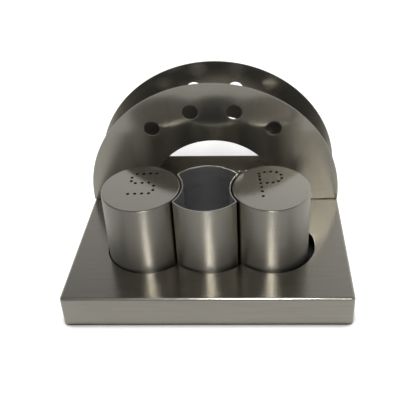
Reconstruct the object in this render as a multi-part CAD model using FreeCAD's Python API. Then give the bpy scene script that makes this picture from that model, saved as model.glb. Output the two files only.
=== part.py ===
import FreeCAD, Part
import math
import os

# Table set of brushed sheet steel: a low folded tray carries a salt shaker, a toothpick
# holder and a pepper shaker nested side by side in one three-lobed cut-out, with a napkin
# holder bent from one strip behind them.
# Millimetres, +Z up, the front towards -Y. The origin is on the table, under the middle
# of the tray.

V = FreeCAD.Vector

# Tray, a folded sheet box that is open below
tray_width = 150.0
tray_depth = 115.0
skirt_height = 17.5
tray_sheet = 0.8
tray_fold_radius = 1.4
tray_corner_radius = 2.2

# Bottom pan, pushed up inside the skirt, and its four bumper feet
pan_sheet = 1.5
pan_rim_height = 8.0
pan_recess = 0.5
foot_proud = 1.0
foot_diameter = 9.0
foot_edge_bevel = 0.4
foot_inset = 8.5

# Cut-out in the tray's top: three round lobes in a row
lobe_radius = 23.2
lobe_pitch = 34.4
lobe_from_front = 41.6

# The three containers, which stand in the cut-out a little left of its middle and forward of it
container_diameter = 41.5
container_sheet = 0.6
container_above_tray = 39.7
container_pitch = 34.55
containers_left = 1.45
containers_forward = 0.7

# Shakers
lid_edge_radius = 0.8
sprinkle_hole = 1.7
sprinkle_pitch = 3.6
sprinkle_back = 2.1
salt_turn = 3.0
pepper_turn = 6.0
shaker_base_recess = 5.0
filling_hole = 20.0
plug_clearance = 0.05
plug_neck = 3.0
plug_flange_diameter = 25.0
plug_flange = 1.4
plug_hollow_diameter = 14.0
plug_hollow_depth = 3.2
plug_grip_bar = 2.4

# Toothpick holder, whose flanks are drawn in round its neighbours
flank_gap = 0.9
flank_corner_radius = 1.2
toothpick_floor_sheet = 0.8
toothpick_floor_lift = 1.0

# Napkin holder, one strip bent into a U
holder_sheet = 0.8
holder_from_front = 83.8
holder_depth = 30.5
holder_fold_radius = 1.0
plate_centre_height = 4.5
window_radius = 37.9
window_sill_height = 12.3
window_corner_radius = 2.0
plate_hole = 9.4
plate_hole_circle_radius = 58.0
plate_hole_spacing_deg = 25.0
plate_hole_count = 4

# Rivets that hold the strip down on the tray
rivet_offset = 48.0
rivet_shank = 3.2
rivet_head_diameter = 6.4
rivet_head_height = 1.1
rivet_crown_diameter = 4.0
rivet_tail_diameter = 4.8
rivet_tail_height = 1.3

# Places that follow from the driving dimensions
front = -tray_depth / 2
tray_top = foot_proud + skirt_height
pan_underside = foot_proud + pan_recess
pan_floor = pan_underside + pan_sheet
container_radius = container_diameter / 2
container_y = front + lobe_from_front - containers_forward
container_height = tray_top + container_above_tray - pan_floor
salt_x = -container_pitch - containers_left
toothpick_x = -containers_left
pepper_x = container_pitch - containers_left
holder_front = front + holder_from_front
holder_middle = holder_front + holder_depth / 2
plate_centre = tray_top + plate_centre_height
shaker_bore_radius = container_radius - container_sheet


def save(shape, node):
    shape.exportStep("parts/" + node + ".step")
    print(node, "solids", len(shape.Solids), "volume", round(shape.Volume, 1), "valid", shape.isValid())


def block(x0, x1, y0, y1, z0, z1):
    return Part.makeBox(x1 - x0, y1 - y0, z1 - z0, V(x0, y0, z0))


def upright(radius, x, y, z0, z1):
    return Part.makeCylinder(radius, z1 - z0, V(x, y, z0), V(0, 0, 1))


def rounded(shape, radius, wanted):
    """Round the straight or circular edges that the test picks out."""
    edges = [edge for edge in shape.Edges if wanted(edge)]
    return shape.makeFillet(radius, edges) if radius > 0 and edges else shape


def runs_along(edge, axis):
    step = edge.Vertexes[-1].Point - edge.Vertexes[0].Point
    return step.Length > 0 and abs(abs(step.dot(axis)) - step.Length) < 1e-6


def at_height(edge, z):
    return all(abs(vertex.Z - z) < 1e-6 for vertex in edge.Vertexes)


def folded_box(half_width, half_depth, z0, z1, corner_radius, fold_radius):
    """A block with its four upright corners rounded, and its top edges as tightly as they fold."""
    shape = block(-half_width, half_width, -half_depth, half_depth, z0, z1)
    shape = rounded(shape, corner_radius, lambda edge: runs_along(edge, V(0, 0, 1)))
    return rounded(shape, fold_radius, lambda edge: at_height(edge, z1))


def rivet_places():
    return [(-rivet_offset, holder_middle), (rivet_offset, holder_middle)]


def rivet_holes():
    low = tray_top - tray_sheet
    high = tray_top + holder_sheet
    return Part.makeCompound([upright(rivet_shank / 2, x, y, low, high) for x, y in rivet_places()])


# Tray


def base_tray():
    outer = folded_box(
        tray_width / 2,
        tray_depth / 2,
        foot_proud,
        tray_top,
        tray_corner_radius,
        tray_fold_radius,
    )
    inner = folded_box(
        tray_width / 2 - tray_sheet,
        tray_depth / 2 - tray_sheet,
        foot_proud,
        tray_top - tray_sheet,
        tray_corner_radius - tray_sheet,
        tray_fold_radius - tray_sheet,
    )
    lobe_y = front + lobe_from_front
    lobes = [
        upright(lobe_radius, step * lobe_pitch, lobe_y, tray_top - tray_sheet, tray_top)
        for step in (-1, 0, 1)
    ]
    cut_out = lobes[0].fuse(lobes[1:])
    return outer.cut(inner).cut(cut_out).cut(rivet_holes())


def bottom_pan():
    """A tray-shaped pan whose rim presses against the inside of the skirt."""
    half_width = tray_width / 2 - tray_sheet
    half_depth = tray_depth / 2 - tray_sheet
    corner = tray_corner_radius - tray_sheet
    top = pan_underside + pan_rim_height
    outer = block(-half_width, half_width, -half_depth, half_depth, pan_underside, top)
    outer = rounded(outer, corner, lambda edge: runs_along(edge, V(0, 0, 1)))
    inner = block(
        -half_width + pan_sheet,
        half_width - pan_sheet,
        -half_depth + pan_sheet,
        half_depth - pan_sheet,
        pan_floor,
        top,
    )
    return outer.cut(inner)


def foot(side, end):
    x = side * (tray_width / 2 - foot_inset)
    y = end * (tray_depth / 2 - foot_inset)
    radius = foot_diameter / 2
    edge = Part.makeCone(radius - foot_edge_bevel, radius, foot_edge_bevel, V(x, y, 0), V(0, 0, 1))
    return edge.fuse(upright(radius, x, y, foot_edge_bevel, pan_underside)).removeSplitter()


# Napkin holder


def plate_outline():
    """Both plates seen from the front: a round top on straight sides, through the whole depth."""
    radius = tray_width / 2
    back = holder_front + holder_depth
    sides = block(-radius, radius, holder_front, back, tray_top, plate_centre)
    disc = Part.makeCylinder(radius, holder_depth, V(0, holder_front, plate_centre), V(0, 1, 0))
    below = block(-radius, radius, holder_front, back, plate_centre - 2 * radius, tray_top)
    return sides.fuse(disc).cut(below)


def window():
    disc = Part.makeCylinder(window_radius, holder_depth, V(0, holder_front, plate_centre), V(0, 1, 0))
    sill = tray_top + window_sill_height
    above = block(
        -window_radius,
        window_radius,
        holder_front,
        holder_front + holder_depth,
        sill,
        plate_centre + window_radius,
    )
    shape = disc.common(above)
    return rounded(
        shape,
        window_corner_radius,
        lambda edge: runs_along(edge, V(0, 1, 0)) and at_height(edge, sill),
    )


def plate_holes():
    """An even row of round holes on a circle about the plates' centre."""
    holes = []
    for index in range(plate_hole_count):
        turn = math.radians((index - (plate_hole_count - 1) / 2) * plate_hole_spacing_deg)
        x = plate_hole_circle_radius * math.sin(turn)
        z = plate_centre + plate_hole_circle_radius * math.cos(turn)
        holes.append(Part.makeCylinder(plate_hole / 2, holder_depth, V(x, holder_front, z), V(0, 1, 0)))
    return Part.makeCompound(holes)


def bent_strip():
    """The U of the strip, as wide as the tray, before its plates are cut to shape."""
    half = tray_width / 2
    back = holder_front + holder_depth
    top = plate_centre + half
    outer = block(-half, half, holder_front, back, tray_top, top)
    outer = rounded(
        outer,
        holder_fold_radius,
        lambda edge: runs_along(edge, V(1, 0, 0)) and at_height(edge, tray_top),
    )
    floor = tray_top + holder_sheet
    inner = block(-half, half, holder_front + holder_sheet, back - holder_sheet, floor, top)
    inner = rounded(
        inner,
        holder_fold_radius - holder_sheet,
        lambda edge: runs_along(edge, V(1, 0, 0)) and at_height(edge, floor),
    )
    return outer.cut(inner)


def napkin_holder():
    return bent_strip().common(plate_outline()).cut(window()).cut(plate_holes()).cut(rivet_holes())


def holder_rivets():
    rivets = []
    floor = tray_top + holder_sheet
    underside = tray_top - tray_sheet
    for x, y in rivet_places():
        head = Part.makeCone(
            rivet_head_diameter / 2,
            rivet_crown_diameter / 2,
            rivet_head_height,
            V(x, y, floor),
            V(0, 0, 1),
        )
        shank = upright(rivet_shank / 2, x, y, underside, floor)
        tail = upright(rivet_tail_diameter / 2, x, y, underside - rivet_tail_height, underside)
        rivets.append(head.fuse([shank, tail]).removeSplitter())
    return Part.makeCompound(rivets)


# Shakers


def row_of_holes(first_x, y, count, step):
    return [(first_x + index * step, y) for index in range(count)]


def salt_pattern():
    """Sprinkle holes along an S, from the end of its top stroke to the end of its bottom one."""
    step = sprinkle_pitch
    right = 1.85 * step
    left = -1.55 * step
    points = row_of_holes(2.1 * step, 3.0 * step, 4, -step)
    points += [(left, 2.05 * step), (left, 1.15 * step)]
    points += row_of_holes(-0.9 * step, 0.6 * step, 3, step)
    points += [(right, -0.2 * step), (right, -1.3 * step)]
    points += row_of_holes(1.3 * step, -2.05 * step, 4, -step)
    return points


def pepper_pattern():
    """Sprinkle holes along a P: an upright stem, and beside its top a bowl with a round end."""
    step = sprinkle_pitch
    points = []
    for index in range(7):
        down = index * (0.72 + 0.039 * index)
        points.append((-1.45 * step, (3.1 - down) * step))
    middle, radius = 1.98 * step, 1.43 * step
    points += row_of_holes(-0.6 * step, middle + radius, 2, step)
    points += row_of_holes(-0.5 * step, middle - radius, 2, 0.9 * step)
    for index in range(4):
        turn = math.radians(55 - index * 37)
        points.append((0.45 * step + radius * math.cos(turn), middle + radius * math.sin(turn)))
    return points


def rounded_top_cup(x, top):
    """A solid round cup whose top edge is turned over in two narrow cones, as a drawn lid is."""
    half_way = lid_edge_radius * (1 - math.sqrt(0.5))
    outline = [
        (0, pan_floor),
        (container_radius, pan_floor),
        (container_radius, top - lid_edge_radius),
        (container_radius - half_way, top - half_way),
        (container_radius - lid_edge_radius, top),
        (0, top),
    ]
    corners = [V(x + radius, container_y, z) for radius, z in outline]
    face = Part.Face(Part.makePolygon(corners + corners[:1]))
    return face.revolve(V(x, container_y, 0), V(0, 0, 1), 360)


def shaker_body(x, pattern, turn_deg):
    """A drawn cup, mouth down, with its sprinkle holes through the closed top."""
    top = pan_floor + container_height
    outer = rounded_top_cup(x, top)
    underside = top - container_sheet
    inner = upright(shaker_bore_radius, x, container_y, pan_floor, underside)
    turn = math.radians(turn_deg)
    holes = []
    for across, along in pattern:
        back = along + sprinkle_back
        hole_x = x + across * math.cos(turn) - back * math.sin(turn)
        hole_y = container_y + across * math.sin(turn) + back * math.cos(turn)
        holes.append(upright(sprinkle_hole / 2, hole_x, hole_y, underside, top))
    return outer.cut(inner).cut(Part.makeCompound(holes))


def shaker_base(x):
    """A pressed disc inside the cup's mouth, flanged down to its rim, with the filling hole."""
    disc_low = pan_floor + shaker_base_recess
    disc_high = disc_low + container_sheet
    outer = upright(shaker_bore_radius, x, container_y, pan_floor, disc_high)
    under = upright(shaker_bore_radius - container_sheet, x, container_y, pan_floor, disc_low)
    filling = upright(filling_hole / 2, x, container_y, disc_low, disc_high)
    return outer.cut(under).cut(filling)


def shaker_plug(x):
    """A soft stopper: a flange under the disc, a neck through it, and a bar to grip across its hollow."""
    disc_low = pan_floor + shaker_base_recess
    low = disc_low - plug_flange
    flange = upright(plug_flange_diameter / 2, x, container_y, low, disc_low)
    neck = upright(filling_hole / 2 - plug_clearance, x, container_y, disc_low, disc_low + plug_neck)
    hollow = upright(plug_hollow_diameter / 2, x, container_y, low, low + plug_hollow_depth)
    half = plug_hollow_diameter / 2
    bar = block(
        x - half,
        x + half,
        container_y - plug_grip_bar / 2,
        container_y + plug_grip_bar / 2,
        low,
        low + plug_hollow_depth,
    )
    return flange.fuse(neck).cut(hollow.cut(bar)).removeSplitter()


# Toothpick holder


def waisted_prism(inset, z0, z1):
    """The holder's outline, drawn in by the inset: a circle less the neighbours' larger circles."""
    body = upright(container_radius - inset, toothpick_x, container_y, z0, z1)
    flank_radius = container_radius + flank_gap + inset
    for neighbour_x in (salt_x, pepper_x):
        body = body.cut(upright(flank_radius, neighbour_x, container_y, z0, z1))
    return rounded(body, flank_corner_radius - inset, lambda edge: runs_along(edge, V(0, 0, 1)))


def toothpick_sleeve():
    top = pan_floor + container_height
    return waisted_prism(0, pan_floor, top).cut(waisted_prism(container_sheet, pan_floor, top))


def toothpick_floor():
    low = pan_floor + toothpick_floor_lift
    return waisted_prism(container_sheet, low, low + toothpick_floor_sheet)


os.makedirs("parts", exist_ok=True)

save(base_tray(), "base_tray")
save(bottom_pan(), "bottom_pan")
save(foot(-1, -1), "foot_front_left")
save(foot(1, -1), "foot_front_right")
save(foot(-1, 1), "foot_back_left")
save(foot(1, 1), "foot_back_right")
save(napkin_holder(), "napkin_holder")
save(holder_rivets(), "holder_rivets")

for name, place, pattern, turn in (
    ("salt", salt_x, salt_pattern(), salt_turn),
    ("pepper", pepper_x, pepper_pattern(), pepper_turn),
):
    save(shaker_body(place, pattern, turn), name + "_body")
    save(shaker_base(place), name + "_base")
    save(shaker_plug(place), name + "_plug")

save(toothpick_sleeve(), "toothpick_sleeve")
save(toothpick_floor(), "toothpick_floor")
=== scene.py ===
# %% [markdown]
# A table set in brushed sheet steel, dressed in Blender.
#
# The metal shapes, their places and the way they move come from a imported model that is loaded
# as a fixed frame. This file gives every piece its finish: the grain left by the polishing
# belt, the bright line along a cut edge, which is partly a painted highlight, the clear bumpers
# and the soft filling plugs. It is written as a lesson, so each step says what the real thing is
# and why it is made this way.

# %% Load the frame
import math

import bmesh
import bpy
from mathutils import Matrix, Vector


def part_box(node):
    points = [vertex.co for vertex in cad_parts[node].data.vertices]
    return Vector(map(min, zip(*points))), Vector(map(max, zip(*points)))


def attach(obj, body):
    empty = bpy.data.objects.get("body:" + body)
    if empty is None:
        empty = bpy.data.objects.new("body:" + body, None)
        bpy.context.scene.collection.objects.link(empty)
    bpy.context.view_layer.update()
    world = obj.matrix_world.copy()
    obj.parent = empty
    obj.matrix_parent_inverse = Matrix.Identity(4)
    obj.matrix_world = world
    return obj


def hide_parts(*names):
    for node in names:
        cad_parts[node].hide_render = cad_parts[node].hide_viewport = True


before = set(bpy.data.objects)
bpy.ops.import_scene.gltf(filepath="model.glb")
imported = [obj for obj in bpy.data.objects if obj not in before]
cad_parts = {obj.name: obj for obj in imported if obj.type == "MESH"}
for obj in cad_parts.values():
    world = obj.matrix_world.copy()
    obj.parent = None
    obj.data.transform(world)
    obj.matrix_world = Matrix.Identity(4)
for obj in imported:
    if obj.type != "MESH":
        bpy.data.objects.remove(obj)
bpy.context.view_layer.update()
MM = 0.001

# %% [markdown]
# The camera comes first, because everything else is judged through it. A photograph that was
# cropped from a larger picture has its true centre somewhere else, so the lens is shifted a
# little. The camera is turned in three plain steps: roll about its own axis, then pitch, then
# yaw about the vertical.

# %% Camera
PHOTO_WIDTH = 400
SENSOR_MM = 36.0
FOCAL_PX = 619.6
CENTRE_PX = (250, 130)
CAMERA_PLACE = Vector((25.46, -282.86, 249.55)) * MM
CAMERA_PITCH, CAMERA_YAW, CAMERA_ROLL = 30.43, 0.72, -0.65


def add_camera():
    data = bpy.data.cameras.new("camera")
    data.sensor_fit = "HORIZONTAL"
    data.sensor_width = SENSOR_MM
    data.lens = SENSOR_MM * FOCAL_PX / PHOTO_WIDTH
    data.shift_x = 0.5 - CENTRE_PX[0] / PHOTO_WIDTH
    data.shift_y = CENTRE_PX[1] / PHOTO_WIDTH - 0.5
    data.clip_start = 0.01
    camera = bpy.data.objects.new("camera", data)
    bpy.context.collection.objects.link(camera)
    yaw = Matrix.Rotation(math.radians(CAMERA_YAW), 4, "Z")
    pitch = Matrix.Rotation(math.radians(90 - CAMERA_PITCH), 4, "X")
    roll = Matrix.Rotation(math.radians(CAMERA_ROLL), 4, "Z")
    camera.matrix_world = Matrix.Translation(CAMERA_PLACE) @ yaw @ pitch @ roll
    bpy.context.scene.camera = camera
    return camera


camera = add_camera()
print("lens", round(camera.data.lens, 2), "mm")

# %% [markdown]
# Every material here is a small graph of nodes. A few helpers keep the graphs short: one new
# material, one sum, one range turned into another, and one colour mixed from two. A number is
# set on its socket, and anything else is linked to it.

# %% Helpers for materials
def new_material(name):
    material = bpy.data.materials.new(name)
    material.use_nodes = True
    nodes, links = material.node_tree.nodes, material.node_tree.links
    return material, nodes, links, nodes["Principled BSDF"]


def feed(links, socket, value):
    if isinstance(value, (int, float)):
        socket.default_value = value
    else:
        links.new(value, socket)


def maths(nodes, links, operation, *values):
    node = nodes.new("ShaderNodeMath")
    node.operation = operation
    for socket, value in zip(node.inputs, values):
        feed(links, socket, value)
    return node.outputs[0]


def in_range(nodes, links, value, start, stop, low=0.0, high=1.0):
    """Turns the range from start to stop into the range from low to high."""
    node = nodes.new("ShaderNodeMapRange")
    names = ("From Min", "From Max", "To Min", "To Max", "Value")
    for name, number in zip(names, (start, stop, low, high, value)):
        feed(links, node.inputs[name], number)
    return node.outputs[0]


def mixed_colour(nodes, links, factor, low, high):
    node = nodes.new("ShaderNodeMix")
    node.data_type = "RGBA"
    node.inputs["A"].default_value, node.inputs["B"].default_value = low, high
    links.new(factor, node.inputs["Factor"])
    return node.outputs["Result"]


print("helpers ready")

# %% [markdown]
# Polished metal shows its surroundings more than its own colour, so the stage matters as much
# as the steel. The set stands on a matt white floor, which is topped up with a little light of
# its own for the camera and for mirrors: it reads as white and still keeps the set's soft
# shadow. An ambient occlusion node finds the last few millimetres under the skirt and darkens
# both the tone and the top-up there. This is a painted contact shadow, the thin dark line where
# the set meets the floor.

# %% Floor
FLOOR_SIZE = 6.0
FLOOR_TONE = (0.80, 0.80, 0.79, 1)
# The floor's tone right under the skirt: a painted contact shadow.
PAINTED_CONTACT_SHADOW = (0.05, 0.05, 0.05, 1)
TOP_UP_FOR_CAMERA = 0.48
TOP_UP_FOR_METAL = 0.10
CONTACT_REACH = 6 * MM
CONTACT_RANGE = (0.42, 0.78)
CONTACT_SAMPLES = 8


def add_floor():
    mesh = bmesh.new()
    bmesh.ops.create_grid(mesh, x_segments=1, y_segments=1, size=FLOOR_SIZE / 2)
    data = bpy.data.meshes.new("floor")
    mesh.to_mesh(data)
    mesh.free()
    floor = bpy.data.objects.new("floor", data)
    bpy.context.collection.objects.link(floor)
    return floor


def floor_material():
    """A matt floor that the camera, and what mirrors it, sees as plain white, with a painted
    contact shadow under the skirt.
    """
    material, nodes, links, shader = new_material("pale_floor")
    shader.inputs["Roughness"].default_value = 0.8
    shader.inputs["Specular IOR Level"].default_value = 0.0
    shader.inputs["Emission Color"].default_value = (1, 1, 1, 1)
    contact = nodes.new("ShaderNodeAmbientOcclusion")
    contact.samples = CONTACT_SAMPLES
    contact.inputs["Distance"].default_value = CONTACT_REACH
    clear = in_range(nodes, links, contact.outputs["AO"], *CONTACT_RANGE)
    # Painted contact shadow: the floor's tone darkens where the ambient occlusion finds the skirt
    # close by.
    tone = mixed_colour(nodes, links, clear, PAINTED_CONTACT_SHADOW, FLOOR_TONE)
    links.new(tone, shader.inputs["Base Color"])
    path = nodes.new("ShaderNodeLightPath").outputs
    direct = maths(nodes, links, "MAXIMUM", path["Is Camera Ray"], path["Is Transmission Ray"])
    direct = maths(nodes, links, "MULTIPLY", direct, TOP_UP_FOR_CAMERA)
    mirrored = maths(nodes, links, "MULTIPLY", path["Is Glossy Ray"], TOP_UP_FOR_METAL)
    top_up = maths(nodes, links, "MAXIMUM", direct, mirrored)
    # The top-up fades there too, so the painted contact shadow also shows to the camera and in the
    # steel.
    top_up = maths(nodes, links, "MULTIPLY", top_up, clear)
    links.new(top_up, shader.inputs["Emission Strength"])
    return material


floor = add_floor()
floor.data.materials.append(floor_material())
bpy.context.scene.view_settings.view_transform = "Standard"
print("stage", floor.name)

# %% [markdown]
# Behind the set the room is pale up to about forty degrees, where a backdrop would end, and it
# is dimmer overhead and on the photographer's side. The world has one ramp from the horizon to
# the zenith for the back, and one level for the front, blended by how far a ray points back.

# %% Sky
SKY_FRONT = 0.34
# Each stop is a height, as the upward part of a direction of length 1, and a level.
SKY_BACK = (
    (0.0, 0.85),
    (0.55, 0.80),
    (0.61, 0.62),
    (0.66, 0.55),
    (0.735, 0.52),
    (0.78, 0.14),
    (1.0, 0.22),
)
SKY_TILT = -0.25
SKY_BLEND = (-0.35, 0.45)


def add_sky():
    world = bpy.data.worlds.new("studio")
    world.use_nodes = True
    bpy.context.scene.world = world
    nodes, links = world.node_tree.nodes, world.node_tree.links
    place = nodes.new("ShaderNodeTexCoord")
    split = nodes.new("ShaderNodeSeparateXYZ")
    links.new(place.outputs["Generated"], split.inputs[0])
    ramp = nodes.new("ShaderNodeValToRGB")
    ramp.color_ramp.interpolation = "EASE"
    while len(ramp.color_ramp.elements) < len(SKY_BACK):
        ramp.color_ramp.elements.new(0.5)
    for stop, (position, level) in zip(ramp.color_ramp.elements, SKY_BACK):
        stop.position = position
        stop.color = (level, level, level, 1)
    tilt = maths(nodes, links, "MULTIPLY", split.outputs["X"], SKY_TILT)
    links.new(maths(nodes, links, "ADD", split.outputs["Z"], tilt), ramp.inputs[0])
    behind = in_range(nodes, links, split.outputs["Y"], *SKY_BLEND)
    behind.node.interpolation_type = "SMOOTHSTEP"
    level = nodes.new("ShaderNodeMix")
    level.inputs["A"].default_value = SKY_FRONT
    links.new(behind, level.inputs["Factor"])
    links.new(ramp.outputs[0], level.inputs["B"])
    background = nodes["Background"]
    background.inputs["Color"].default_value = (1, 1, 1, 1)
    links.new(level.outputs["Result"], background.inputs["Strength"])
    return world


print("sky", add_sky().name)

# %% [markdown]
# Two soft panels stand on the photographer's side. The high one hangs above and behind the
# camera: a round wall that is brushed round and round turns it into the fine upright streak that
# drawn steel cups have, and the folded front edge shows it as one long bright line. The one to
# the right brightens what the plates and the tray show of each other.

# %% Lamps
# Each panel stands upright: its name, its ends in X and in Z, its Y and its power in watts.
PANELS = (
    ("high_panel", (-0.040, 0.095), (0.560, 1.100), -0.45, 13.0),
    ("right_panel", (0.235, 0.420), (0.762, 1.200), -1.25, 1.7),
)


def add_panel(name, across, upward, y, power):
    data = bpy.data.lights.new(name, "AREA")
    data.shape = "RECTANGLE"
    data.size, data.size_y = across[1] - across[0], upward[1] - upward[0]
    data.energy = power
    lamp = bpy.data.objects.new(name, data)
    bpy.context.collection.objects.link(lamp)
    lamp.location = (sum(across) / 2, y, sum(upward) / 2)
    lamp.rotation_euler = (math.radians(90), 0, 0)
    return lamp


lamps = [add_panel(*panel) for panel in PANELS]
print("lamps", [lamp.name for lamp in lamps])

# %% [markdown]
# Polished metal also shows the camera that looks at it. A dark card stands where the camera and
# the hands around it would be, and no picture ray sees it: it is met only in what the steel
# reflects, and keeps the back halves of the lids as dark as they are in such a photograph.

# %% Card
CARD_X = (-0.200, 0.085)
CARD_Z = (0.282, 0.390)
CARD_Y = -0.300
CARD_TONE = (0.3, 0.3, 0.3, 1)


def add_card():
    mesh = bpy.data.meshes.new("card")
    corners = [(x, CARD_Y, z) for z in CARD_Z for x in CARD_X]
    mesh.from_pydata(corners, [], [(0, 1, 3, 2)])
    card = bpy.data.objects.new("card", mesh)
    bpy.context.collection.objects.link(card)
    material, nodes, links, shader = new_material("card_grey")
    shader.inputs["Base Color"].default_value = CARD_TONE
    shader.inputs["Roughness"].default_value = 0.9
    mesh.materials.append(material)
    card.visible_camera = False
    return card


print("stage", add_card().name)

# %% [markdown]
# Brushed steel is a mirror with fine parallel scratches. The scratches spread a reflection
# across themselves and keep it sharp along themselves, which is what the shader's anisotropy
# does. Which way it spreads comes from a UV map that every dressed piece gets: U runs across
# the scratches and V along them, both in metres, so the same map also places the scratches.
# One node group draws the scratches and some broad faint bands for every steel in the set.

# %% Brushed grain
GRAIN_MAP = "grain"
# Scratches and bands to the metre, across the grain and along it.
SCRATCHES = (1700, 60, 1)
BANDS = (600, 30, 1)
# A noise texture rarely leaves this part of 0 to 1.
NOISE_RANGE = (0.3, 0.7)


def noise(nodes, links, vector, scale, detail, roughness):
    node = nodes.new("ShaderNodeTexNoise")
    node.inputs["Scale"].default_value = scale
    node.inputs["Detail"].default_value = detail
    node.inputs["Roughness"].default_value = roughness
    links.new(vector, node.inputs["Vector"])
    return node.outputs["Fac"]


def between(nodes, links, value, low, high):
    return in_range(nodes, links, value, *NOISE_RANGE, low, high)


def stretched(nodes, links, vector, scale):
    node = nodes.new("ShaderNodeMapping")
    node.inputs["Scale"].default_value = scale
    links.new(vector, node.inputs["Vector"])
    return node.outputs[0]


def grain_group():
    """Fine scratches along V and broad bands between them, each from 0 to 1."""
    group = bpy.data.node_groups.new("brushed_grain", "ShaderNodeTree")
    for name in ("Scratches", "Bands"):
        group.interface.new_socket(name, in_out="OUTPUT", socket_type="NodeSocketFloat")
    nodes, links = group.nodes, group.links
    leave = nodes.new("NodeGroupOutput")
    uv = nodes.new("ShaderNodeUVMap")
    uv.uv_map = GRAIN_MAP
    fine = stretched(nodes, links, uv.outputs[0], SCRATCHES)
    links.new(noise(nodes, links, fine, 1.0, 3.0, 0.6), leave.inputs["Scratches"])
    broad = stretched(nodes, links, uv.outputs[0], BANDS)
    links.new(noise(nodes, links, broad, 1.0, 2.0, 0.5), leave.inputs["Bands"])
    return group


grain = grain_group()
print("group", grain.name, [item.name for item in grain.interface.items_tree])

# %% [markdown]
# Each steel of the set is this one recipe with other numbers: the sheet's flat parts, the round
# walls, the lids, the unpolished inside of the toothpick holder, the bare cut edges and the walls
# of the sprinkle holes. The salt and pepper walls are painted darker than the rest as shade. The
# bare edges are painted lighter, which is partly a highlight. The hole walls are painted near
# black as the shade inside the holes. The scratches change the tone and the roughness a little,
# and raise a very shallow bump. The plates also have a trace of haze, a share of plain grey.

# %% Steel finishes
STEEL = (0.33, 0.314, 0.275)
# The salt and pepper walls are the same steel as the rest, painted darker, the salt's most:
# painted shade.
SALT_STEEL_PAINTED_SHADE = (0.284, 0.270, 0.237)
PEPPER_STEEL_PAINTED_SHADE = (0.303, 0.289, 0.253)
LID_STEEL = (0.40, 0.382, 0.336)
INSIDE_STEEL = (0.41, 0.415, 0.415)
# Filed bare metal on the cut edges, lighter than the brushed faces. The lighter tone is partly a
# painted highlight.
EDGE_TONE_AND_HIGHLIGHT = (0.62, 0.61, 0.585)
# Near black: painted shade for the inside of the sprinkle holes.
HOLE_SHADE_TONE = (0.05, 0.05, 0.05)
SCRATCH_BUMP = 0.3


def tinted(colour, factor):
    return (*(channel * factor for channel in colour), 1)


def add_bump(nodes, links, shader, height, strength, distance):
    bump = nodes.new("ShaderNodeBump")
    bump.inputs["Strength"].default_value = strength
    bump.inputs["Distance"].default_value = distance
    links.new(height, bump.inputs["Height"])
    links.new(bump.outputs[0], shader.inputs["Normal"])


def steel(
    name,
    colour,
    roughness,
    anisotropy,
    scratch=0.05,
    uneven=0.06,
    streaky=0.06,
    depth=0.003 * MM,
    haze=0.0,
):
    """scratch shades the tone; uneven and streaky vary the roughness by bands and scratches."""
    material, nodes, links, shader = new_material(name)
    shader.inputs["Metallic"].default_value = 1.0 - haze
    shader.inputs["Anisotropic"].default_value = anisotropy
    tangent = nodes.new("ShaderNodeTangent")
    tangent.direction_type = "UV_MAP"
    tangent.uv_map = GRAIN_MAP
    links.new(tangent.outputs[0], shader.inputs["Tangent"])
    marks = nodes.new("ShaderNodeGroup")
    marks.node_tree = grain
    scratches, bands = marks.outputs["Scratches"], marks.outputs["Bands"]
    lines = between(nodes, links, scratches, 0.0, 1.0)
    blend = maths(nodes, links, "MULTIPLY_ADD", lines, 0.5, between(nodes, links, bands, 0.0, 0.5))
    dark, light = tinted(colour, 1 - scratch), tinted(colour, 1 + scratch)
    links.new(mixed_colour(nodes, links, blend, dark, light), shader.inputs["Base Color"])
    slow = between(nodes, links, bands, roughness * (1 - uneven), roughness * (1 + uneven))
    fast = between(nodes, links, scratches, 1 - streaky, 1 + streaky)
    links.new(maths(nodes, links, "MULTIPLY", slow, fast), shader.inputs["Roughness"])
    add_bump(nodes, links, shader, scratches, SCRATCH_BUMP, depth)
    return material


tray_steel = steel("brushed_tray", STEEL, 0.22, 0.35, scratch=0.09, streaky=0.16)
plate_steel = steel(
    "brushed_plate",
    STEEL,
    0.18,
    0.72,
    scratch=0.025,
    uneven=0.04,
    streaky=0.03,
    depth=0.001 * MM,
    haze=0.04,
)
wall_steels = {
    # The salt and pepper walls carry their painted shade in these darker tones.
    "salt": steel("brushed_salt_wall", SALT_STEEL_PAINTED_SHADE, 0.33, 0.97),
    "toothpick": steel("brushed_sleeve_wall", STEEL, 0.335, 0.97),
    "pepper": steel("brushed_pepper_wall", PEPPER_STEEL_PAINTED_SHADE, 0.30, 0.97),
}
lid_steel = steel("brushed_lid", LID_STEEL, 0.12, 0.2, scratch=0.03)
inside_steel = steel("plain_inside", INSIDE_STEEL, 0.45, 0.2, scratch=0.03)
# The bare edges' lighter tone is partly real filed metal and partly a painted highlight.
edge_steel_and_highlight = steel("bare_edge_and_painted_highlight", EDGE_TONE_AND_HIGHLIGHT, 0.3, 0.0, scratch=0.03)
# The sprinkle-hole walls are painted near black as shade.
hole_painted_shade = steel("hole_wall_painted_shade", HOLE_SHADE_TONE, 0.4, 0.0, scratch=0.03)
print("steels", [material.name for material in bpy.data.materials if material.name != "card_grey"])

# %% [markdown]
# The frame's steel pieces have exact shapes but razor edges, and one material each. A real cut
# edge is broken with a file and shines as a thin bright line. So each steel piece is copied, its
# loose triangles are merged into whole faces, and its sharp edges are cut back by a fraction of
# a millimetre with a bevel. The copy then takes the frame piece's place and moves with the same
# body. Each face gets the finish that its place on the piece calls for. The lighter tone of the
# bare edges is partly real filed metal and partly a painted highlight.

# %% Dressed copies of the steel pieces
MERGE_WITHIN = 2e-6
FLAT_WITHIN = math.radians(0.2)
SHARP = math.radians(40)
SMOOTH_BELOW = math.radians(32)


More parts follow.
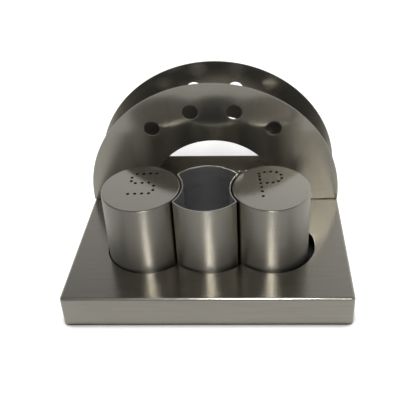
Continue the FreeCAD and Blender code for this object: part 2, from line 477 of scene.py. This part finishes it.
def merged_copy(node_name):
    mesh = bmesh.new()
    mesh.from_mesh(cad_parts[node_name].data)
    bmesh.ops.remove_doubles(mesh, verts=mesh.verts, dist=MERGE_WITHIN)
    bmesh.ops.dissolve_limit(
        mesh, angle_limit=FLAT_WITHIN, verts=mesh.verts, edges=mesh.edges, delimit=set()
    )
    return mesh


def turns_by(edge):
    """The angle between an edge's two faces, or a half turn where it doesn't have two."""
    return edge.calc_face_angle() if len(edge.link_faces) == 2 else math.pi


def soften(mesh, width, segments=2):
    """Cuts back the sharp edges and gives the new narrow faces."""
    made = bmesh.ops.bevel(
        mesh,
        geom=[edge for edge in mesh.edges if len(edge.link_faces) == 2 and turns_by(edge) > SHARP],
        offset=width,
        segments=segments,
        profile=0.5,
        affect="EDGES",
        material=-1,
        clamp_overlap=True,
    )
    return made["faces"]


def lay_grain(mesh, direction):
    """Writes U across the scratches and V along them, by a rule for each face."""
    layer = mesh.loops.layers.uv.new(GRAIN_MAP)
    for face in mesh.faces:
        rule = direction(face)
        for loop in face.loops:
            loop[layer].uv = rule(loop.vert.co)


def dress(node_name, body, mesh, materials):
    """Makes the finished object and lets it stand for the frame's piece."""
    for edge in mesh.edges:
        edge.smooth = len(edge.link_faces) != 2 or turns_by(edge) < SMOOTH_BELOW
    for face in mesh.faces:
        face.smooth = True
    name = node_name + "_dressed"
    data = bpy.data.meshes.new(name)
    mesh.to_mesh(data)
    mesh.free()
    for material in materials:
        data.materials.append(material)
    piece = bpy.data.objects.new(name, data)
    bpy.context.collection.objects.link(piece)
    weighted = piece.modifiers.new("weighted", "WEIGHTED_NORMAL")
    weighted.keep_sharp = True
    weighted.weight = 100
    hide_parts(node_name)
    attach(piece, body)
    print(name, len(data.polygons), "faces")
    return piece


# %% [markdown]
# The tray was brushed left to right as a flat sheet, before it was folded, so the scratches run
# along X on its top and its front, and down its side skirts. The napkin holder's strip was
# brushed along its length, so on the two arched plates the scratches stand upright, and they
# smear a reflection sideways but not up and down. Both rules carry the grain round a fold
# without a break: one measure goes on growing while the sheet turns from Y to Z.

# %% Tray and napkin holder
TRAY_EDGE, HOLDER_EDGE = 0.2 * MM, 0.15 * MM
SIDEWAYS, SLANTED = 0.35, 0.02
LOBE_RADIUS, LOBE_PITCH, LOBE_Y = 23.2 * MM, 34.4 * MM, -15.9 * MM
NEAR_LOBE = 1.5 * MM


def fold_sign(face):
    return -1.0 if face.normal.y > SLANTED and face.normal.z > SLANTED else 1.0


def tray_grain(face):
    if abs(face.normal.x) > SIDEWAYS:
        return lambda point: (point.y, point.z)
    sign = fold_sign(face)
    return lambda point: (point.y + sign * point.z, point.x)


def strip_grain(face):
    sign = fold_sign(face)
    return lambda point: (point.x, point.z + sign * point.y)


def at_cut_out(place):
    lobes = [Vector((step * LOBE_PITCH, LOBE_Y)) for step in (-1, 0, 1)]
    return min((place.to_2d() - lobe).length for lobe in lobes) < LOBE_RADIUS + NEAR_LOBE


def dress_sheet(node_name, width, direction, materials, shows_edge):
    """shows_edge says of a place whether its narrow edge faces get the second material, the
    lighter edge tone that is partly a painted highlight.
    """
    mesh = merged_copy(node_name)
    for face in mesh.faces:
        face.material_index = 0
    for face in soften(mesh, width):
        face.material_index = int(shows_edge(face.calc_center_median()))
    lay_grain(mesh, direction)
    return dress(node_name, "stand", mesh, materials)


# Round the tray's cut-outs the bevel faces take the lighter edge tone, which is partly a painted
# highlight.
steels = [tray_steel, edge_steel_and_highlight]
dress_sheet("base_tray", TRAY_EDGE, tray_grain, steels, at_cut_out)
steels = [plate_steel, edge_steel_and_highlight]
dress_sheet("napkin_holder", HOLDER_EDGE, strip_grain, steels, lambda place: False)

# %% [markdown]
# The three containers are drawn or rolled from sheet, and their walls were brushed round and
# round. The lids were brushed on their own. The shakers' copies are split into wall, lid and the
# walls of the sprinkle holes, which are painted near black as the shade inside them. The sleeve's
# copy is split into its outside, its plain inside and the bright rim, whose lighter tone is partly
# a painted highlight. A face's place and the way it points tell which it is.

# %% Containers
CONTAINER_Y = -16.6 * MM
CONTAINER_RADIUS = 20.75 * MM
CENTRE_X = {"salt": -36.0 * MM, "toothpick": -1.45 * MM, "pepper": 33.1 * MM}
CONTAINER_EDGE = 0.1 * MM
LID_INSET, LID_DEPTH = 2 * MM, 0.58 * MM
FACES_UP, LEVEL, UPRIGHT = 0.9, 0.7, 0.5


def round_grain(centre_x):
    """A rule for walls whose scratches go round, and for discs whose scratches run along X."""

    def direction(face):
        if abs(face.normal.z) > LEVEL:
            return lambda point: (point.y, point.x)
        middle = face.calc_center_median()
        angle = math.atan2(middle.y - CONTAINER_Y, middle.x - centre_x)

        def rule(point):
            here = math.atan2(point.y - CONTAINER_Y, point.x - centre_x)
            turns = round((angle - here) / (2 * math.pi))
            return (point.z, (here + turns * 2 * math.pi) * CONTAINER_RADIUS)

        return rule

    return direction


def dress_shaker(kind):
    name = kind + "_body"
    mesh = merged_copy(name)
    soften(mesh, CONTAINER_EDGE)
    top = max(vertex.co.z for vertex in mesh.verts)
    centre = Vector((CENTRE_X[kind], CONTAINER_Y))
    for face in mesh.faces:
        place = face.calc_center_median()
        inside = (place.to_2d() - centre).length < CONTAINER_RADIUS - LID_INSET
        # The walls of the sprinkle holes take the near-black painted shade.
        in_hole = inside and place.z > top - LID_DEPTH and abs(face.normal.z) < UPRIGHT
        face.material_index = 2 if in_hole else int(face.normal.z > FACES_UP)
    lay_grain(mesh, round_grain(CENTRE_X[kind]))
    steels = [wall_steels[kind], lid_steel, hole_painted_shade]
    return dress(name, kind + "_shaker", mesh, steels)


def dress_sleeve():
    mesh = merged_copy("toothpick_sleeve")
    soften(mesh, CONTAINER_EDGE)
    centre = Vector((CENTRE_X["toothpick"], CONTAINER_Y, 0))
    for face in mesh.faces:
        outward = face.calc_center_median() - centre
        outward.z = 0
        inwards = face.normal.dot(outward) < 0
        # The rim facing up takes the lighter edge tone, which is partly a painted highlight.
        face.material_index = 2 if face.normal.z > FACES_UP else int(inwards)
    lay_grain(mesh, round_grain(CENTRE_X["toothpick"]))
    steels = [wall_steels["toothpick"], inside_steel, edge_steel_and_highlight]
    return dress("toothpick_sleeve", "toothpick_holder", mesh, steels)


dress_shaker("salt")
dress_shaker("pepper")
dress_sleeve()

# %% [markdown]
# Each shaker is closed by a pressed disc inside its mouth, and the toothpick holder has a plain
# disc for a floor. They come off the same sheet, so they get the same treatment as the cups, in
# the plain steel of the inside.

# %% Bases of the shakers and the holder's floor
def dress_disc(node_name, body, kind):
    mesh = merged_copy(node_name)
    soften(mesh, CONTAINER_EDGE)
    for face in mesh.faces:
        face.material_index = 0
    lay_grain(mesh, round_grain(CENTRE_X[kind]))
    return dress(node_name, body, mesh, [inside_steel])


dress_disc("salt_base", "salt_shaker", "salt")
dress_disc("pepper_base", "pepper_shaker", "pepper")
dress_disc("toothpick_floor", "toothpick_holder", "toothpick")

# %% [markdown]
# Two rivets hold the strip's floor down on the tray. A set rivet has a low domed head and a flat
# tail, so its outline is drawn once from the axis outwards and spun into a solid of revolution.

# %% Rivets
RIVET_HEAD = ((0.0, 1.1), (1.3, 1.0), (2.4, 0.66), (3.0, 0.26), (3.2, 0.0))
RIVET_SHANK = ((1.6, 0.0), (1.6, -1.6))
RIVET_TAIL = ((2.3, -1.6), (2.4, -1.8), (2.4, -2.7), (2.2, -2.9), (0.0, -2.9))
RIVET_HEIGHT, RIVET_RADIUS = RIVET_HEAD[0][1] * MM, RIVET_HEAD[-1][0] * MM
POLE_WITHIN = 1e-6


def spun(mesh, outline, centre, steps=40):
    """Spins an outline of (radius, height) pairs in millimetres about an upright axis."""
    corners = [mesh.verts.new(centre + Vector((r * MM, 0, h * MM))) for r, h in outline]
    edges = [mesh.edges.new(pair) for pair in zip(corners, corners[1:])]
    bmesh.ops.spin(
        mesh,
        geom=corners + edges,
        cent=centre,
        axis=(0, 0, 1),
        angle=2 * math.pi,
        steps=steps,
        use_merge=True,
        use_duplicate=False,
    )
    bmesh.ops.remove_doubles(mesh, verts=mesh.verts, dist=POLE_WITHIN)
    bmesh.ops.recalc_face_normals(mesh, faces=mesh.faces)


def flat_grain(face):
    return lambda point: (point.y, point.x + point.z)


low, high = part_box("holder_rivets")
middle_y, head_foot = (low[1] + high[1]) / 2, high[2] - RIVET_HEIGHT
rivet_mesh = bmesh.new()
for x in (low[0] + RIVET_RADIUS, high[0] - RIVET_RADIUS):
    spun(rivet_mesh, RIVET_HEAD + RIVET_SHANK + RIVET_TAIL, Vector((x, middle_y, head_foot)))
lay_grain(rivet_mesh, flat_grain)
# The rivets take the same lighter edge tone, which partly paints a highlight on their heads.
dress("holder_rivets", "stand", rivet_mesh, [edge_steel_and_highlight])

# %% [markdown]
# The pan under the tray is pressed from black plastic with a fine pebbled skin. The pebbles are
# cells of a Voronoi texture, raised by a bump, and a slow noise makes the skin shinier in some
# places than in others.

# %% Bottom pan
PEBBLE_BUMP = 0.5
CLOUD_SCALE = 60.0
CLOUD_ON_ROUGHNESS, CLOUD_ON_TONE = 0.15, 0.12
PAN_EDGE = 0.35 * MM


def plastic(name, colour, roughness, pebble_scale, pebble_height):
    """A moulded skin: round pebbles, and a slow change in how shiny it is."""
    material, nodes, links, shader = new_material(name)
    place = nodes.new("ShaderNodeTexCoord")
    cells = nodes.new("ShaderNodeTexVoronoi")
    cells.inputs["Scale"].default_value = pebble_scale
    links.new(place.outputs["Object"], cells.inputs["Vector"])
    add_bump(nodes, links, shader, cells.outputs["Distance"], PEBBLE_BUMP, pebble_height)
    cloud = noise(nodes, links, place.outputs["Object"], CLOUD_SCALE, 3.0, 0.5)
    low = roughness * (1 - CLOUD_ON_ROUGHNESS)
    high = roughness * (1 + CLOUD_ON_ROUGHNESS)
    links.new(between(nodes, links, cloud, low, high), shader.inputs["Roughness"])
    dark, light = tinted(colour, 1 - CLOUD_ON_TONE), tinted(colour, 1 + CLOUD_ON_TONE)
    links.new(mixed_colour(nodes, links, cloud, dark, light), shader.inputs["Base Color"])
    return material


pan_plastic = plastic("black_pan", (0.012, 0.012, 0.013), 0.5, 1400.0, 0.05 * MM)
pan_mesh = merged_copy("bottom_pan")
soften(pan_mesh, PAN_EDGE, 3)
lay_grain(pan_mesh, flat_grain)
dress("bottom_pan", "stand", pan_mesh, [pan_plastic])

# %% [markdown]
# The set stands on four clear bumpers, the stick-on kind: a low drum of soft plastic with a
# rounded rim. They are spun from an outline, and the material is a cloudy glass.

# %% Bumper feet
BUMPER = (
    (0.0, 1.5),
    (4.2, 1.5),
    (4.42, 1.4),
    (4.5, 1.2),
    (4.5, 0.55),
    (4.36, 0.24),
    (4.1, 0.06),
    (3.8, 0.0),
    (0.0, 0.0),
)
BUMPER_DARK, BUMPER_LIGHT = (0.86, 0.87, 0.86, 1), (0.95, 0.95, 0.93, 1)
BUMPER_IOR = 1.49
BUMPER_CLOUDS = 700.0


def clear_plastic():
    material, nodes, links, shader = new_material("clear_bumper")
    shader.inputs["Transmission Weight"].default_value = 1.0
    shader.inputs["IOR"].default_value = BUMPER_IOR
    place = nodes.new("ShaderNodeTexCoord")
    cloud = noise(nodes, links, place.outputs["Object"], BUMPER_CLOUDS, 3.0, 0.5)
    links.new(between(nodes, links, cloud, 0.06, 0.16), shader.inputs["Roughness"])
    tone = mixed_colour(nodes, links, cloud, BUMPER_DARK, BUMPER_LIGHT)
    links.new(tone, shader.inputs["Base Color"])
    return material


bumper_clear = clear_plastic()
for corner in ("front_left", "front_right", "back_left", "back_right"):
    low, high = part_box("foot_" + corner)
    foot_mesh = bmesh.new()
    foot_centre = Vector(((low[0] + high[0]) / 2, (low[1] + high[1]) / 2, 0))
    spun(foot_mesh, BUMPER, foot_centre, 48)
    lay_grain(foot_mesh, flat_grain)
    dress("foot_" + corner, "stand", foot_mesh, [bumper_clear])

# %% [markdown]
# Each shaker is filled from below and closed by a soft stopper with a bar to grip it by. The
# stopper's shape is right already, so its copy only gets rounder edges and a milky soft skin.

# %% Filling plugs
PLUG_EDGE = 0.3 * MM

plug_soft = plastic("soft_plug", (0.62, 0.62, 0.60), 0.45, 900.0, 0.02 * MM)
for kind in ("salt", "pepper"):
    plug_mesh = merged_copy(kind + "_plug")
    soften(plug_mesh, PLUG_EDGE, 3)
    lay_grain(plug_mesh, flat_grain)
    dress(kind + "_plug", kind + "_stopper", plug_mesh, [plug_soft])
